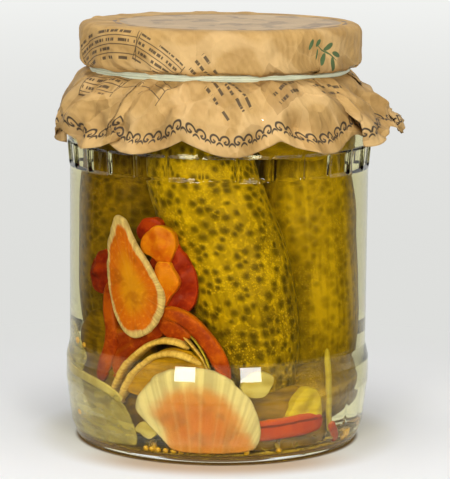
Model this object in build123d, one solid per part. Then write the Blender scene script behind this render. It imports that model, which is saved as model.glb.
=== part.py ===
from build123d import *
import math
import os

# A jar of pickles: pressed glass with two rings of flat panels, a metal lid, brine, and a
# scalloped paper cover drawn over the lid and held under it by a rubber band.
# Millimetres. The jar stands on z = 0, and its axis is Z. A panel faces -Y, the front.

# Glass, outside: radii are steps from the body's, and heights near the mouth hang from its top
body_radius = 45.5
finish_top = 126.5
bulge_step = 1.0
upper_bulge_step = 0.8
heel_step = 2.8
heel_shoulder_step = 0.6
rest_width = 6.7
heel_fillet = 1.6
heel_height = 5.6
bulge_low = 18.4
bulge_high = 25.8
waist_height = 29.0
upper_slope_drop = 43.3
upper_bulge_low_drop = 33.9
upper_bulge_high_drop = 22.0
shoulder_fillet = 10.0
neck_radius = 37.6
neck_low_drop = 20.0
neck_slope = 1.4
neck_fillet = 3.0
finish_step = 2.8
lid_overhang = 0.9
mouth_fillet = 1.1
bend_fillet = 3.5
push_up = 1.5

# Glass, inside
wall = 2.6
base_thickness = 2.2
mouth_wall = 4.4
floor_corner_fillet = 5.0
inner_shoulder_fillet = 8.0

# Rings of flat panels pressed into the glass
panel_count = 28
panel_depth = 0.10
panel_height = 8.1
upper_panel_rise = 0.7
lower_panel_drop = 0.5

# Brine
headspace = 14.5

# Lid
lid_room = 1.0
lid_sheet = 0.6
lid_skirt = 11.4
lid_rim_fillet = 2.4
lid_bead = 0.55

# Paper cover
paper_sheet = 0.4
paper_ease = 0.1
paper_fold = 0.8
column_count = 96
rim_steps = 6
lobe_count = 12
skirt_rows = 7
skirt_drop = 20.4
skirt_stand_off = 3.5
skirt_bow_share = 2 / 9
pleat_height = 1.6
scallop_height = 5.0

# Rubber band
strand_radius = 0.42
strand_pitch = 0.62
strand_count = 3
band_ease = 0.1

# Worked out from the values above
bulge_radius = body_radius + bulge_step
upper_bulge_radius = body_radius + upper_bulge_step
heel_radius = body_radius - heel_step
heel_shoulder_radius = body_radius - heel_shoulder_step
rest_inner_radius = heel_radius - rest_width
upper_slope_low = finish_top - upper_slope_drop
upper_bulge_low = finish_top - upper_bulge_low_drop
upper_bulge_high = finish_top - upper_bulge_high_drop
neck_low = finish_top - neck_low_drop
finish_radius = neck_radius + finish_step
inner_radius = body_radius - wall
neck_inner_radius = neck_radius - wall
mouth_radius = finish_radius - mouth_wall
upper_panel_low = upper_slope_low + upper_panel_rise
upper_panel_high = upper_panel_low + panel_height
lower_panel_high = bulge_low - lower_panel_drop
lower_panel_low = lower_panel_high - panel_height
brine_level = finish_top - headspace
lid_radius = finish_radius + lid_room + lid_sheet
lid_top = finish_top + lid_sheet
lid_low = lid_top - lid_skirt
finish_low = lid_low + lid_overhang
neck_high = finish_low - neck_slope
paper_cap_radius = lid_radius + paper_ease + paper_sheet
paper_top = lid_top + paper_ease + paper_sheet
tie_radius = neck_radius + paper_ease + paper_sheet
skirt_hem_radius = upper_bulge_radius + skirt_stand_off
skirt_bow = skirt_bow_share * (skirt_hem_radius - tie_radius)
band_radius = tie_radius + band_ease + strand_radius
band_height = strand_pitch * (strand_count - 1) + 2 * strand_radius
paper_fold_high = lid_low - lid_bead - paper_ease - paper_sheet
band_middle = paper_fold_high - band_ease - band_height / 2
paper_fold_low = band_middle - band_height / 2 - band_ease


def limited(corners, fillets):
    """The fillet radii, made smaller where two of them don't fit on the run they share."""
    count = len(corners)
    runs, tangents = [], [0] * count
    for index, corner in enumerate(corners):
        after = corners[(index + 1) % count]
        runs.append(Vector(after[0] - corner[0], after[1] - corner[1]))
    halves = [math.radians(runs[i - 1].get_angle(runs[i])) / 2 for i in range(count)]
    for index, radius in fillets.items():
        tangents[index] = radius * math.tan(halves[index])
    shrink = [1.0] * count
    for index, run in enumerate(runs):
        after = (index + 1) % count
        fit = 0.96 * run.length / max(tangents[index] + tangents[after], 1e-9)
        shrink[index] = min(shrink[index], fit)
        shrink[after] = min(shrink[after], fit)
    return {index: radius * shrink[index] for index, radius in fillets.items()}


def outlined(corners, fillets):
    """A face of radius against height from its corners, with the numbered corners rounded."""
    face = make_face(Polyline(*corners, close=True))
    for index, radius in limited(corners, fillets).items():
        x, z = corners[index]
        near = [v for v in face.vertices() if math.hypot(v.X - x, v.Y - z) < 1e-6]
        face = fillet(near, radius)
    return face


def turned(face):
    """The solid of revolution of a face drawn with x as radius and y as height."""
    return revolve(Plane.XZ * face, Axis.Z)


def outer_face():
    """Half section of the glass filled solid."""
    corners = [
        (0, push_up),
        (rest_inner_radius, 0),
        (heel_radius, 0),
        (heel_shoulder_radius, heel_height),
        (bulge_radius, bulge_low),
        (bulge_radius, bulge_high),
        (body_radius, waist_height),
        (body_radius, upper_slope_low),
        (upper_bulge_radius, upper_bulge_low),
        (upper_bulge_radius, upper_bulge_high),
        (neck_radius, neck_low),
        (neck_radius, neck_high),
        (finish_radius, finish_low),
        (finish_radius, finish_top),
        (0, finish_top),
    ]
    fillets = {2: heel_fillet, 3: bend_fillet, 4: bend_fillet, 5: bend_fillet / 2,
               6: bend_fillet / 2, 9: shoulder_fillet, 10: neck_fillet, 13: mouth_fillet}
    return outlined(corners, fillets)


def cavity_face():
    """Half section of the space inside the glass, from its floor to the mouth."""
    corners = [
        (0, push_up + base_thickness),
        (rest_inner_radius, base_thickness),
        (inner_radius, base_thickness),
        (inner_radius, upper_bulge_high - wall),
        (neck_inner_radius, neck_low),
        (mouth_radius, finish_low),
        (mouth_radius, finish_top + 1),
        (0, finish_top + 1),
    ]
    fillets = {2: floor_corner_fillet, 3: inner_shoulder_fillet, 4: neck_fillet}
    return outlined(corners, fillets)


def panel_ring(low, high, radius_low, radius_high):
    """What is taken off the glass to leave a ring of flat panels between two heights."""
    turn = 180 / panel_count
    sections = []
    for z, radius in ((low, radius_low), (high, radius_high)):
        flat = RegularPolygon(radius - panel_depth, panel_count, rotation=turn)
        sections.append(Pos(0, 0, z) * flat)
    kept = loft(sections, ruled=True)
    band = Pos(0, 0, (low + high) / 2) * Cylinder(bulge_radius + 2, high - low)
    return band - kept


def slope_radius(z, low, high):
    """Radius at height z on the straight line between two (radius, height) corners."""
    share = (z - low[1]) / (high[1] - low[1])
    return low[0] + share * (high[0] - low[0])


def jar_glass():
    glass = turned(outer_face() - cavity_face())
    lower = ((heel_shoulder_radius, heel_height), (bulge_radius, bulge_low))
    upper = ((body_radius, upper_slope_low), (upper_bulge_radius, upper_bulge_low))
    for low, high, line in ((lower_panel_low, lower_panel_high, lower),
                            (upper_panel_low, upper_panel_high, upper)):
        glass -= panel_ring(low, high, slope_radius(low, *line), slope_radius(high, *line))
    return glass


def brine():
    tank = Pos(bulge_radius / 2, brine_level / 2) * Rectangle(bulge_radius, brine_level)
    return turned(cavity_face() & tank)


def lid():
    outside = outlined(
        [(0, lid_low), (lid_radius, lid_low), (lid_radius, lid_top), (0, lid_top)],
        {2: lid_rim_fillet},
    )
    inside = outlined(
        [(0, lid_low - 1), (lid_radius - lid_sheet, lid_low - 1),
         (lid_radius - lid_sheet, lid_top - lid_sheet), (0, lid_top - lid_sheet)],
        {2: lid_rim_fillet - lid_sheet},
    )
    bead = Pos(lid_radius - lid_bead, lid_low) * Circle(lid_bead)
    return turned((outside - inside) + bead)


def held_rows(inset):
    """Radius and height of the paper from the lid's rim to below the band, moved inwards."""
    rim = lid_rim_fillet + paper_ease + paper_sheet
    rows = []
    for step in range(rim_steps + 1):
        angle = math.pi / 2 * (1 - step / rim_steps)
        reach = rim - inset
        rows.append((paper_cap_radius - rim + reach * math.cos(angle),
                     paper_top - rim + reach * math.sin(angle)))
    rows.append((paper_cap_radius - inset, paper_fold_high + paper_fold))
    rows.append((paper_cap_radius - paper_fold, paper_fold_high + inset))
    rows.append((tie_radius - inset, paper_fold_high + inset))
    rows.append((tie_radius - inset, paper_fold_low - inset))
    return rows


def skirt_point(column, share, inset):
    """Point of the skirt: it flares in a bow from the band, waves in pleats, ends in scallops."""
    turn = 2 * math.pi * column / column_count
    pleat = math.cos(lobe_count * turn)
    lift = scallop_height * (1 - abs(math.cos(lobe_count * turn / 2)))
    along = share * (skirt_drop - lift) / skirt_drop
    radius = tie_radius + (skirt_hem_radius - tie_radius) * along
    radius += skirt_bow * math.sin(math.pi * along) + pleat_height * pleat * along
    z = paper_fold_low - skirt_drop * along ** 1.5
    lean = math.atan2(skirt_drop * 1.5 * along ** 0.5, skirt_hem_radius - tie_radius)
    radius -= inset * math.sin(lean)
    z -= inset * math.cos(lean)
    return (radius * math.cos(turn), radius * math.sin(turn), z)


def paper_layer(inset):
    """Rings of points down one side of the paper, from the rim to the hem."""
    rings = []
    for radius, z in held_rows(inset):
        turns = [2 * math.pi * column / column_count for column in range(column_count)]
        rings.append([(radius * math.cos(t), radius * math.sin(t), z) for t in turns])
    for row in range(1, skirt_rows + 1):
        share = row / skirt_rows
        rings.append([skirt_point(c, share, inset) for c in range(column_count)])
    return rings


def strip_faces(upper, lower, flat):
    """Faces that join two rings, as four-cornered faces if they are flat, else triangles."""
    faces = []
    for column in range(column_count):
        after = (column + 1) % column_count
        a, b, c, d = upper[column], lower[column], lower[after], upper[after]
        if flat:
            faces.append(Face(Wire.make_polygon([a, b, c, d])))
        else:
            faces.append(Face(Wire.make_polygon([a, b, c])))
            faces.append(Face(Wire.make_polygon([a, c, d])))
    return faces


def paper_cover():
    outside = paper_layer(0)
    inside = paper_layer(paper_sheet)
    held_count = len(held_rows(0))
    faces = []
    for rings in (outside, inside):
        faces.append(Face(Wire.make_polygon(rings[0])))
        for index in range(len(rings) - 1):
            faces += strip_faces(rings[index], rings[index + 1], index + 1 < held_count)
    faces += strip_faces(outside[-1], inside[-1], False)
    cover = Solid(Shell(faces))
    return cover if cover.volume > 0 else Solid(Shell([-face for face in faces]))


def rubber_band():
    first = band_middle - strand_pitch * (strand_count - 1) / 2
    profile = Pos(band_radius, first) * Circle(strand_radius)
    for strand in range(1, strand_count):
        profile += Pos(band_radius, first + strand * strand_pitch) * Circle(strand_radius)
    return turned(profile)


os.makedirs("parts", exist_ok=True)
for make in (jar_glass, brine, lid, paper_cover, rubber_band):
    piece = make()
    export_step(piece, f"parts/{make.__name__}.step")
    box = piece.bounding_box()
    print(make.__name__, round(piece.volume / 1000, 2), "ml", box.min, box.max)
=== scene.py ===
import bpy
import numpy as np
from mathutils import Matrix, Vector


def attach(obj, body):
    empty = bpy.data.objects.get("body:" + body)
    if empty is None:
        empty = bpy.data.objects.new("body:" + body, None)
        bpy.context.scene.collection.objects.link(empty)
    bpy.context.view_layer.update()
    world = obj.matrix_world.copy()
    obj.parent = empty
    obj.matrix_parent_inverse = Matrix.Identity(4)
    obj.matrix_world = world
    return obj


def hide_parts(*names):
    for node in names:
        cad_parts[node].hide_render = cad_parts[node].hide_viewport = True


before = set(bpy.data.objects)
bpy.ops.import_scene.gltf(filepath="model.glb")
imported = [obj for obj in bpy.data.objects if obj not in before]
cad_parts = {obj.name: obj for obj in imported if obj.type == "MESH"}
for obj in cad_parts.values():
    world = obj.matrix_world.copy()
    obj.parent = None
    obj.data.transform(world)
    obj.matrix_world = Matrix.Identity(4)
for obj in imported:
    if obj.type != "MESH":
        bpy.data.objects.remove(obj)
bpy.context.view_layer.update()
print("frame loaded")


# Point at a turn, reach and height.
def around(turn, reach, height):
    angle = np.radians(turn)
    parts = np.broadcast_arrays(reach * np.sin(angle), -reach * np.cos(angle), height)
    return np.stack(parts, -1)


# Rises from 0 to 1 between low and high with level ends: 3s^2 - 2s^3.
def eased(value, low, high):
    share = np.clip((value - low) / (high - low), 0, 1)
    return share * share * (3 - 2 * share)


# Smooth curve through knots: on each span a cubic has the knots' own slopes (Catmull-Rom).
def curveThrough(knots, count, closed=False):
    knots = np.asarray(knots, float)
    if closed:
        padded = np.concatenate([knots[-1:], knots, knots[:2]])
        place = np.arange(count) * len(knots) / count
        span = place.astype(int)
    else:
        padded = np.concatenate([2 * knots[:1] - knots[1:2], knots, 2 * knots[-1:] - knots[-2:-1]])
        place = np.linspace(0, len(knots) - 1, count) if np.isscalar(count) else count * (len(knots) - 1)
        span = np.minimum(place.astype(int), len(knots) - 2)
    t = (place - span)[:, None]
    a, b, c, d = (padded[span + k] for k in range(4))
    return 0.5 * (2 * b + (c - a) * t + (2 * a - 5 * b + 4 * c - d) * t**2 + (3 * b - a - 3 * c + d) * t**3)


# Vectors of length 1.
def unit(vectors):
    return vectors / np.maximum(np.linalg.norm(vectors, axis=-1, keepdims=True), 1e-9)


# Angles of the columns once round a ring.
def circle(count):
    return np.linspace(0, 2 * np.pi, count, endpoint=False)


# Length along a line at each of its points: the sum of the steps up to it.
def runLength(line):
    return np.concatenate([[0], np.cumsum(np.linalg.norm(np.diff(line, axis=0), axis=1))])


# Line of (reach, height) corners, each cut back by its third number and bridged by a parabola,
# with a row just beyond each bridge so that the straight runs keep their own shading.
def roundedLine(corners, steps=6, support=0.4):
    corners = np.asarray(corners, float)
    line = [corners[0, :2]]
    for before, here, after in zip(corners[:-2], corners[1:-1], corners[2:]):
        back, on = unit(before[:2] - here[:2]), unit(after[:2] - here[:2])
        cut = max(here[2], 0.02)
        t = np.linspace(0, 1, steps + 1)[:, None]
        start, end = here[:2] + back * cut, here[:2] + on * cut
        bridge = (1 - t) ** 2 * start + 2 * t * (1 - t) * here[:2] + t**2 * end
        line += [start + back * support, *bridge, end + on * support]
    line.append(corners[-1, :2])
    return np.array(line)


# Sum of a few waves in three directions: smooth unevenness between about -1 and 1.
def waves(points, length, seed):
    dice = np.random.default_rng(seed)
    total = 0
    for _ in range(6):
        direction = unit(dice.normal(size=3)) * 2 * np.pi / (length * dice.uniform(0.7, 1.5))
        total = total + np.sin(points @ direction + dice.uniform(0, 6.28))
    return total / 3


# Puts an object into the scene at the origin, with its place in its mesh.
def putObject(name, data):
    made = bpy.data.objects.new(name, data)
    bpy.context.scene.collection.objects.link(made)
    return made


# Puts in a piece from points[copy, row, column, xyz]. Columns close on themselves, and each end
# row is shut by a pole unless it is left open, or the rows close on themselves too when looped.
# The piece's volume, a sum of triple products, says whether its faces have to be turned outwards.
def putPiece(name, points, material, looped=False, openEnd=False, uv=None, uvPeriod=0, fields=None):
    points = points if points.ndim == 4 else points[None]
    copies, rows, columns, _ = points.shape
    grids = {"place": points, **({} if uv is None else {"uv": uv}), **(fields or {})}
    grids = {key: np.reshape(grid, (copies, rows, columns, -1)) for key, grid in grids.items()}
    parts = {key: [grid.reshape(-1, grid.shape[-1])] for key, grid in grids.items()}
    index = np.arange(copies * rows * columns).reshape(copies, rows, columns)
    below = np.roll(index, -1, 1) if looped else index[:, 1:]
    above = index if looped else index[:, :-1]
    quads = np.stack([above, below, np.roll(below, -1, 2), np.roll(above, -1, 2)], -1)
    past = np.zeros(quads.shape, bool)  # corners that lie past the seam
    past[:, :, -1, 2:] = True
    faces, seams = [quads.reshape(-1, 4)], [past.reshape(-1, 4)]
    for number, end in enumerate([] if looped else [0] if openEnd else [0, rows - 1]):
        pole = (index.size + number * copies + np.arange(copies))[:, None] + 0 * index[:, end]
        edge = [index[:, end], np.roll(index[:, end], -1, 1)]
        fan = np.stack([pole, *(edge if end == 0 else edge[::-1])], -1)
        past = np.zeros(fan.shape, bool)
        past[:, -1, 2 if end == 0 else 1] = True
        faces.append(fan.reshape(-1, 3))
        seams.append(past.reshape(-1, 3))
        for key, grid in grids.items():
            parts[key].append(grid[:, end].mean(1))
    vertices = np.concatenate(parts.pop("place"))
    middle = vertices - vertices.mean(0)
    thirds = [face[:, [0, k, k + 1]].T for face in faces for k in range(1, face.shape[1] - 1)]
    volume = sum(np.sum(middle[a] * np.cross(middle[b], middle[c])) for a, b, c in thirds)
    loops, past = (np.concatenate([part.ravel() for part in group]) for group in (faces, seams))
    sizes = np.concatenate([np.full(len(face), face.shape[1]) for face in faces])
    if volume < 0:
        loops, past, sizes = loops[::-1].copy(), past[::-1].copy(), sizes[::-1]
    mesh = bpy.data.meshes.new(name)
    mesh.vertices.add(len(vertices))
    mesh.vertices.foreach_set("co", (vertices * 0.001).ravel())
    mesh.loops.add(len(loops))
    mesh.loops.foreach_set("vertex_index", loops.astype(np.int32))
    mesh.polygons.add(len(sizes))
    mesh.polygons.foreach_set("loop_start", (np.cumsum(sizes) - sizes).astype(np.int32))
    mesh.update(calc_edges=True)
    mesh.shade_smooth()
    for key, part in parts.items():
        grid = np.concatenate(part)
        if key == "uv":
            corner = grid[loops] * 0.001
            corner[past, 0] += uvPeriod * 0.001
            mesh.uv_layers.new(name="flat").data.foreach_set("uv", corner.ravel())
        else:
            made = mesh.attributes.new(key, "FLOAT", "POINT")
            made.data.foreach_set("value", grid[:, 0].astype(np.float32))
    mesh.validate()
    mesh.materials.append(material)
    return putObject(name, mesh)


# Directions across a path that goes through points: side lies along the jar's wall and out points
# away from its axis, and both are turned about the path by the roll.
def pathSides(points, roll=0.0):
    forward = unit(np.gradient(points, axis=0))
    outward = points * (1, 1, 0)
    outward = unit(outward + (0, -1e-4, 0))
    side = unit(np.cross(forward, outward))
    out = unit(np.cross(side, forward))
    turn = np.radians(roll) * np.ones(len(points))
    c, s = np.cos(turn)[:, None], np.sin(turn)[:, None]
    return side * c + out * s, out * c - side * s


# Shares along a path that crowd at both ends: (1 - cos(pi t)) / 2.
def crowded(count):
    return 0.5 - 0.5 * np.cos(np.pi * np.linspace(0.02, 0.98, count))


# Wraps a number's socket, so that sums of it are written like sums of plain numbers.
class Tone:
    def __init__(self, finish, socket):
        self.finish, self.socket = finish, socket

    def math(self, operation, *others):
        return self.finish.node("ShaderNodeMath", {"operation": operation}, [self, *others])

    def flipped(self, operation, other):
        return self.finish.node("ShaderNodeMath", {"operation": operation}, [other, self])

    def __add__(self, other):
        return self.math("ADD", other)

    def __sub__(self, other):
        return self.math("SUBTRACT", other)

    def __mul__(self, other):
        return self.math("MULTIPLY", other)

    def __truediv__(self, other):
        return self.math("DIVIDE", other)

    def __rsub__(self, other):
        return self.flipped("SUBTRACT", other)

    def __rtruediv__(self, other):
        return self.flipped("DIVIDE", other)

    __radd__, __rmul__ = __add__, __mul__


# The node tree of a material or a world, built by calls that each return a Tone.
class Finish:
    def __init__(self, owner):
        owner.use_nodes = True
        self.owner, self.tree = owner, owner.node_tree
        self.tree.nodes.clear()

    # Any node: its kind, its settings, its inputs by place or name, and which output is wanted.
    def node(self, kind, settings=None, inputs=None, output=0):
        made = self.tree.nodes.new(kind)
        for key, value in (settings or {}).items():
            setattr(made, key, value)
        for key, value in inputs.items() if isinstance(inputs, dict) else enumerate(inputs or []):
            socket = made.inputs[key]
            if isinstance(value, Tone):
                self.tree.links.new(value.socket, socket)
            else:
                socket.default_value = (*value, 1) if socket.type == "RGBA" else value
        return Tone(self, made.outputs[output] if made.outputs else None)

    def blend(self, share, first, second):  # colour between two colours
        return self.node("ShaderNodeMix", {"data_type": "RGBA"}, {0: share, 6: first, 7: second}, 2)

    def vector(self, operation, *inputs, output=0):
        return self.node("ShaderNodeVectorMath", {"operation": operation}, list(inputs), output)

    def step(self, value, low, high):  # 0 below low, 1 above high, eased between
        settings = {"interpolation_type": "SMOOTHSTEP"}
        return self.node("ShaderNodeMapRange", settings, {0: value, 1: low, 2: high, 3: 0.0, 4: 1.0})

    def place(self, kind="Object"):
        return self.node("ShaderNodeTexCoord", output=kind)

    def apart(self, vector):  # the vector's three numbers
        made = self.node("ShaderNodeSeparateXYZ", None, [vector]).socket.node
        return [Tone(self, socket) for socket in made.outputs]

    def together(self, x, y, z=0.0):
        return self.node("ShaderNodeCombineXYZ", None, [x, y, z])

    def field(self, name):
        return self.node("ShaderNodeAttribute", {"attribute_name": name}, output="Fac")

    def noise(self, vector, size, detail=2.0, output=0):  # size in millimetres
        inputs = {"Vector": vector, "Scale": 1000 / size, "Detail": detail}
        return self.node("ShaderNodeTexNoise", None, inputs, output)

    def cells(self, vector, size, randomness=1.0, output=0):  # on a flat sheet or a skin
        inputs = {"Vector": vector, "Scale": 1000 / size, "Randomness": randomness}
        return self.node("ShaderNodeTexVoronoi", {"voronoi_dimensions": "2D"}, inputs, output)

    def bump(self, height, distance, strength=1.0):  # distance in millimetres
        inputs = {"Strength": strength, "Distance": distance * 0.001, "Height": height}
        return self.node("ShaderNodeBump", None, inputs)

    def shown(self, shader):
        world = isinstance(self.owner, bpy.types.World)
        self.node("ShaderNodeOutputWorld" if world else "ShaderNodeOutputMaterial", None, [shader])
        return self.owner

    def surface(self, color, roughness=0.5, **others):
        names = {key.replace("_", " "): value for key, value in others.items()}
        return self.shown(
            self.node("ShaderNodeBsdfPrincipled", None,
                {"Base Color": color, "Roughness": roughness, **names})
        )


def newFinish(name):
    return Finish(bpy.data.materials.new(name))


# A colour times a factor, plus a little, with its blue set apart where that is given.
def toned(color, factor, more=0.0, blue=None):
    made = [min(1, c * factor + more) for c in color]
    return made if blue is None else [*made[:2], blue]


# Clear stuff: glass to what looks at it, and a tinted clear sheet to the lamps' shadows.
def clearFinish(name, bend, tint, shade):
    finish = newFinish(name)
    glass = finish.node("ShaderNodeBsdfGlass", None, {"Color": tint, "Roughness": 0.0, "IOR": bend})
    clear = finish.node("ShaderNodeBsdfTransparent", None, {"Color": shade})
    ray = finish.node("ShaderNodeLightPath", output="Is Shadow Ray")
    return finish.shown(finish.node("ShaderNodeMixShader", None, [ray, glass, clear]))


glass = {
    "outside": [  # reach, height, cut
        (0, 1.5, 0), (36.0, 0, 0.8), (42.7, 0, 1.3), (44.9, 5.6, 0.5), (46.5, 18.4, 0.3),
        (46.5, 25.4, 0.25), (45.5, 30.0, 0.25), (45.5, 83.2, 0.6), (46.3, 92.6, 0.4),
        (46.3, 104.5, 3.0), (37.6, 106.5, 1.6), (37.6, 115.2, 0.5), (40.4, 116.6, 0.5),
        (40.4, 126.5, 1.1),
    ],
    "inside": [
        (36.0, 126.5, 0.8), (36.0, 116.6, 0.6), (35.0, 106.5, 1.6), (42.9, 101.9, 3.0),
        (42.9, 2.2, 4.8), (36.0, 2.2, 0.5), (0, 3.7, 0),
    ],
    "panels": 28,
    "panelRanges": [(9.8, 17.9, 1.8), (83.9, 92.0, 1.0)],  # lowest, highest, strength
    "panelLedge": 1.3,
    "panelDepth": 0.52,
    "ribHeight": 0.62,
    "ribWidth": 0.62,
    "plainFoot": 6.5,  # rows are their own below this height and above the next
    "plainLip": 126,
    "bend": 1.5,
    "tint": (0.985, 0.99, 0.98),
    "shade": (0.95, 0.955, 0.94),
}
innerReach = 42.3  # as far out as anything in the brine may stand
brine = {
    "level": 112.0, "into": 0.3, "bend": 1.335, "tint": (0.945, 0.905, 0.68),
    "shade": (0.97, 0.94, 0.80),
}


# Radius of the glass at a row and turn: the round radius, or within a ring of panels the flat
# between two ribs, which is apothem / cos(turn from the panel's middle), with the ribs standing. A
# ring's strength multiplies how far its flats and ribs are from the round.
def panelled(reach, height, turn):
    pitch, ledge = 360 / glass["panels"], glass["panelLedge"]
    off = np.radians((turn + pitch / 2) % pitch - pitch / 2)
    corner = np.radians(pitch / 2)
    flat = (reach - glass["panelDepth"]) * np.cos(corner) / np.cos(off)
    rib = glass["ribHeight"] * np.exp(-(((corner - np.abs(off)) * reach / glass["ribWidth"]) ** 2))
    share = sum(
        strength * (eased(height, low, low + ledge) - eased(height, high - ledge, high))
        for low, high, strength in glass["panelRanges"]
    )
    return reach + share * (flat + rib - reach)


# The glass: its outer line from the foot to the lip, with rows added at the panels' ledges, and its
# inner line, each carried round the axis.
def glassPiece():
    foot, lip = glass["plainFoot"], glass["plainLip"]
    outer = roundedLine([*glass["outside"], glass["inside"][0]])
    inner = roundedLine([glass["outside"][-1], *glass["inside"]])[1:]
    outer = outer[:-1]
    steps = np.concatenate([np.arange(-0.2, 1.55, 0.1), [1.8]])
    extra = [h for low, high, _ in glass["panelRanges"] for h in (*(low + steps), *(high - steps))]
    wall = outer[outer[:, 1] > foot]
    heights = np.unique(np.concatenate([wall[:, 1], extra]).round(3))
    heights = heights[(heights >= wall[0, 1]) & (heights <= lip)]
    climb = wall[np.argsort(wall[:, 1], kind="stable")]
    rows = np.stack([np.interp(heights, climb[:, 1], climb[:, 0]), heights], -1)
    line = np.concatenate([outer[outer[:, 1] <= foot], rows, wall[wall[:, 1] > lip]])[1:]
    shares = np.array([-1, -0.93, -0.86, -0.78, -0.55, -0.2, 0.2, 0.55, 0.78, 0.86, 0.93])
    pitch = 360 / glass["panels"]
    turns = (np.arange(glass["panels"])[:, None] * pitch + shares * pitch / 2).ravel()
    reach = panelled(line[:, :1], line[:, 1:], turns[None])
    outside = around(turns[None], reach, line[:, 1:])
    inside = around(turns[None], inner[:-1, :1], inner[:-1, 1:])
    finish = clearFinish("clear_glass", glass["bend"], glass["tint"], glass["shade"])
    piece = putPiece("glass", np.concatenate([outside, inside]), finish)
    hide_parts("jar_glass")
    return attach(piece, "root")


# The brine fills the glass to its level and reaches a little way into the wall.
def brinePiece():
    inner = roundedLine([glass["outside"][-1], *glass["inside"]])[1:][::-1]
    slope = unit(np.gradient(inner, axis=0))
    line = inner + brine["into"] * np.stack([slope[:, 1], -slope[:, 0]], -1)
    line = line[line[:, 0] > 0.5]
    line = line[line[:, 1] < brine["level"] - 0.4]
    edge, level = line[-1, 0], brine["level"]
    top = [(edge, level - 0.2), (edge - 0.5, level - 0.05), (edge - 2, level), (3, level)]
    line = np.concatenate([[(3, line[0, 1])], line[line[:, 0] > 3.5], top])
    points = around(np.arange(180)[None] * 2.0, line[:, :1], line[:, 1:])
    finish = clearFinish("brine_clear", brine["bend"], brine["tint"], brine["shade"])
    piece = putPiece("brine_fill", points, finish)
    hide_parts("brine")
    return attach(piece, "root")


glassPiece()
brinePiece()
print("glass and brine made")


gherkins = {  # knots are x, y, z of the middle line; spot and stripe say how strong the marks are
    "front": {
        "knots": [(-8, -20, 107), (-6.6, -22, 97), (-4.5, -23, 86), (-1.8, -23.5, 76), (3.4, -24, 61),
            (7, -24.5, 46), (10, -24.5, 30), (13, -23, 11)],
        "radius": 14.9, "seed": 1, "light": (0.55, 0.345, 0.001), "dark": (0.165, 0.100, 0.001),
        "spot": 1.0, "stripe": 0.25,
    },
    "right": {
        "knots": [(20, -8, 101), (21.5, -8, 80), (22.5, -6, 50), (22.5, -4, 30), (21, -2, 12)],
        "radius": 13.2, "seed": 2, "light": (0.39, 0.242, 0.001), "dark": (0.27, 0.165, 0.001),
        "spot": 0.55, "stripe": 0.6,
    },
    "left": {
        "knots": [(-19, 4, 104), (-19.5, 4, 80), (-19, 5, 50), (-18, 5, 30), (-17, 4, 8)],
        # The left gherkin's colours are darker as painted shade: it stands further back, out of the light.
        "radius": 12.0, "seed": 3, "light": (0.30, 0.168, 0.001), "dark": (0.20, 0.112, 0.001),
        "spot": 0.8, "stripe": 0.3,
    },
    "back": {
        "knots": [(7, 20, 104), (8, 20, 75), (8, 20, 45), (8, 19, 8)],
        "radius": 12.0, "seed": 4, "light": (0.46, 0.255, 0.001), "dark": (0.22, 0.12, 0.001),
        "spot": 0.8, "stripe": 0.5,
    },
    "backLeft": {
        "knots": [(-11, 19, 102), (-10, 20, 75), (-9, 21, 45), (-8, 20, 10)],
        "radius": 11.2, "seed": 5, "light": (0.42, 0.23, 0.001), "dark": (0.20, 0.11, 0.001),
        "spot": 0.9, "stripe": 0.3,
    },
    "core": {
        "knots": [(0, 4, 100), (1, 4, 75), (1, 4, 45), (0, 3, 8)],
        "radius": 10.5, "seed": 6, "light": (0.25, 0.16, 0.002), "dark": (0.12, 0.08, 0.002),
        "spot": 0.6, "stripe": 0.5,
    },
    "lying": {
        "knots": [(2, -26, 100), (12, -24, 98), (21, -17, 96), (26, -6, 93), (26, 6, 91)],
        # The lying gherkin's colours are lighter as painted light, where it lies in the paper's shade.
        "radius": 7.6, "seed": 7, "light": (0.66, 0.42, 0.001), "dark": (0.46, 0.29, 0.001),
        "spot": 0.3, "stripe": 0.5,
    },
    "low": {
        "knots": [(18, -27, 16.5), (24, -20, 17), (26, -8, 17.5), (24, 5, 17), (17, 14, 15)],
        "radius": 8.0, "seed": 8, "light": (0.38, 0.23, 0.001), "dark": (0.28, 0.165, 0.001),
        "spot": 0.4, "stripe": 0.6,
    },
}


# A gherkin: rings along a smooth axis. The radius is full along the middle and closes at the ends
# as (1 - |2s - 1|^3)^(1/2.2), with three shallow sides and some unevenness.
def gherkinPiece(name, values):
    shares = crowded(110)
    axis = curveThrough(values["knots"], shares)
    side, out = pathSides(axis)
    angle = circle(96)
    swell = (1 - np.abs(2 * shares - 1) ** 3.0) ** (1 / 2.2)
    ring = -np.cos(angle)[None, :, None] * out[:, None] + np.sin(angle)[None, :, None] * side[:, None]
    reach = values["radius"] * swell[:, None] * (1 + 0.018 * np.cos(3 * angle + values["seed"])[None])
    points = axis[:, None] + ring * reach[..., None]
    points = points + ring * (0.35 * swell[:, None] * waves(points, 16, values["seed"]))[..., None]
    girth = 2 * np.pi * values["radius"]
    uv = np.stack(np.broadcast_arrays(angle[None] / (2 * np.pi) * girth, runLength(axis)[:, None]), -1)
    finish = gherkinFinish("gherkin_skin_" + name, values)
    piece = putPiece("gherkin_" + name, points, finish, uv=uv, uvPeriod=girth)
    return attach(piece, "root")
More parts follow.
